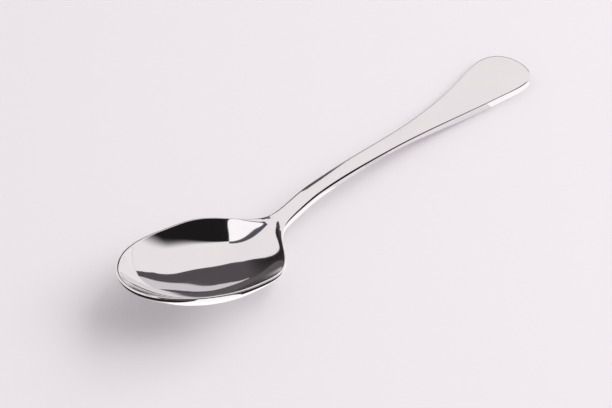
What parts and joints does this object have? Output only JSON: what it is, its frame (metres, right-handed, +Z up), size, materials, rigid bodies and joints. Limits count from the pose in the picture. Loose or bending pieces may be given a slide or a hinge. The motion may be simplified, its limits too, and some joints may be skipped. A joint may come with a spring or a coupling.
{
  "type": "dessert spoon",
  "caption": "Mirror-polished steel dessert spoon with an egg-shaped bowl, slim arched stem and flared, rounded handle end, for scooping and eating soft food.",
  "frame": {"origin": "on the table under the middle of the length, with the spoon lying at rest", "axes": "+X along the spoon from the bowl to the handle's end, +Z up out of the open bowl, +Y across"},
  "size_m": [0.18, 0.0386, 0.0214],
  "materials": {
    "polished_steel": "mirror-polished stainless steel with fine hairlines from use"
  },
  "bodies": {
    "root": {"bowl": "polished_steel", "neck": "polished_steel", "stem": "polished_steel", "handle_end": "polished_steel"}
  },
  "joints": []
}
